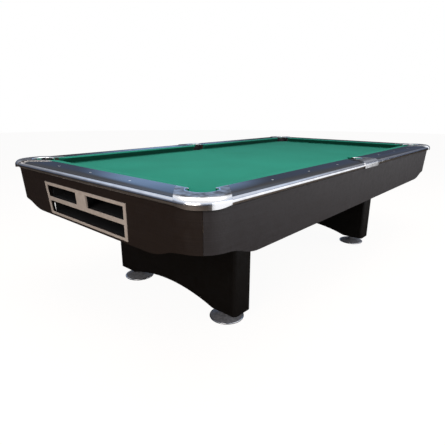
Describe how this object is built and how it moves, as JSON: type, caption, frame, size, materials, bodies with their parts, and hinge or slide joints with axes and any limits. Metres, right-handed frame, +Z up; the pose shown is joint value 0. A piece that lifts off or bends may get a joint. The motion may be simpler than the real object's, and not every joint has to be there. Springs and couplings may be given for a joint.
{
  "type": "pool table",
  "caption": "Full-size pocket billiard table with cloth-covered slate bed, cushioned rails, metal pocket castings, ball-return box and arched pedestals on screw levellers.",
  "frame": {"origin": "on the floor, under the middle of the playing area", "axes": "+X along the bed towards the head end (the ball return is at -X), +Y to the left side, +Z up"},
  "size_m": [2.92, 1.65, 0.8445],
  "materials": {
    "slate": "matte",
    "cloth": "matte",
    "rail_wood": "matte",
    "cap_laminate": "gloss",
    "rubber": "matte",
    "polished_aluminium": "polished",
    "sight_plastic": "gloss",
    "zinc_steel": "satin",
    "black_plastic": "matte",
    "end_apron_laminate": "satin",
    "side_apron_laminate": "satin",
    "bezel_metal": "satin",
    "tray_board": "matte",
    "painted_steel": "satin",
    "frame_wood": "matte",
    "pedestal_laminate": "satin",
    "foot_metal": "satin"
  },
  "bodies": {
    "table": {"slate_foot": "slate", "slate_middle": "slate", "slate_head": "slate", "bed_cloth": "cloth", "rail_left_head": "rail_wood", "rail_left_foot": "rail_wood", "rail_right_foot": "rail_wood", "rail_right_head": "rail_wood", "rail_head": "rail_wood", "rail_foot": "rail_wood", "rail_cap_left_head": "cap_laminate", "rail_cap_left_foot": "cap_laminate", "rail_cap_right_foot": "cap_laminate", "rail_cap_right_head": "cap_laminate", "rail_cap_head": "cap_laminate", "rail_cap_foot": "cap_laminate", "cushion_cloth_left_head": "cloth", "cushion_cloth_left_foot": "cloth", "cushion_cloth_right_foot": "cloth", "cushion_cloth_right_head": "cloth", "cushion_cloth_head": "cloth", "cushion_cloth_foot": "cloth", "cushion_rubbers": "rubber", "side_trims": "polished_aluminium", "end_trims": "polished_aluminium", "rail_sights": "sight_plastic", "rail_bolts": "zinc_steel", "corner_casting_head_left": "polished_aluminium", "corner_casting_foot_left": "polished_aluminium", "corner_casting_foot_right": "polished_aluminium", "corner_casting_head_right": "polished_aluminium", "side_casting_left": "polished_aluminium", "side_casting_right": "polished_aluminium", "corner_pocket_liners": "black_plastic", "side_pocket_liners": "black_plastic", "apron_foot": "end_apron_laminate", "apron_head": "end_apron_laminate", "apron_left": "side_apron_laminate", "apron_right": "side_apron_laminate", "ball_return_bezel": "bezel_metal", "ball_return_divider": "bezel_metal", "ball_tray": "tray_board", "upper_tray": "tray_board", "ball_runs": "black_plastic", "cross_gullies": "black_plastic", "run_hangers": "painted_steel", "side_beams": "frame_wood", "cross_beams": "frame_wood", "pedestal_panels": "pedestal_laminate", "pedestal_end_posts": "pedestal_laminate", "pedestal_top_boards": "frame_wood", "leveller_nut_blocks": "zinc_steel"},
    "leveller_base_foot_left": {"leveller_base_foot_left": "foot_metal"},
    "leveller_stem_foot_left": {"leveller_stem_foot_left": "zinc_steel"},
    "leveller_base_foot_right": {"leveller_base_foot_right": "foot_metal"},
    "leveller_stem_foot_right": {"leveller_stem_foot_right": "zinc_steel"},
    "leveller_base_head_left": {"leveller_base_head_left": "foot_metal"},
    "leveller_stem_head_left": {"leveller_stem_head_left": "zinc_steel"},
    "leveller_base_head_right": {"leveller_base_head_right": "foot_metal"},
    "leveller_stem_head_right": {"leveller_stem_head_right": "zinc_steel"}
  },
  "joints": [
    {"name": "leveller_foot_left_height", "type": "slide", "parent": "table", "child": "leveller_base_foot_left", "axis": [0, 0, -1], "range_m": [0, 0.025]},
    {"name": "leveller_foot_left_turn", "type": "hinge", "parent": "leveller_base_foot_left", "child": "leveller_stem_foot_left", "pos_m": [-0.857, 0.41, 0.05], "axis": [0, 0, -1], "range_deg": [0, 3600]},
    {"name": "leveller_foot_right_height", "type": "slide", "parent": "table", "child": "leveller_base_foot_right", "axis": [0, 0, -1], "range_m": [0, 0.025]},
    {"name": "leveller_foot_right_turn", "type": "hinge", "parent": "leveller_base_foot_right", "child": "leveller_stem_foot_right", "pos_m": [-0.857, -0.41, 0.05], "axis": [0, 0, -1], "range_deg": [0, 3600]},
    {"name": "leveller_head_left_height", "type": "slide", "parent": "table", "child": "leveller_base_head_left", "axis": [0, 0, -1], "range_m": [0, 0.025]},
    {"name": "leveller_head_left_turn", "type": "hinge", "parent": "leveller_base_head_left", "child": "leveller_stem_head_left", "pos_m": [0.857, 0.41, 0.05], "axis": [0, 0, -1], "range_deg": [0, 3600]},
    {"name": "leveller_head_right_height", "type": "slide", "parent": "table", "child": "leveller_base_head_right", "axis": [0, 0, -1], "range_m": [0, 0.025]},
    {"name": "leveller_head_right_turn", "type": "hinge", "parent": "leveller_base_head_right", "child": "leveller_stem_head_right", "pos_m": [0.857, -0.41, 0.05], "axis": [0, 0, -1], "range_deg": [0, 3600]}
  ],
  "couplings": [
    {"joint": "leveller_foot_left_turn", "follows": "leveller_foot_left_height", "rad_per_m": 2513.3},
    {"joint": "leveller_foot_right_turn", "follows": "leveller_foot_right_height", "rad_per_m": 2513.3},
    {"joint": "leveller_head_left_turn", "follows": "leveller_head_left_height", "rad_per_m": 2513.3},
    {"joint": "leveller_head_right_turn", "follows": "leveller_head_right_height", "rad_per_m": 2513.3}
  ]
}
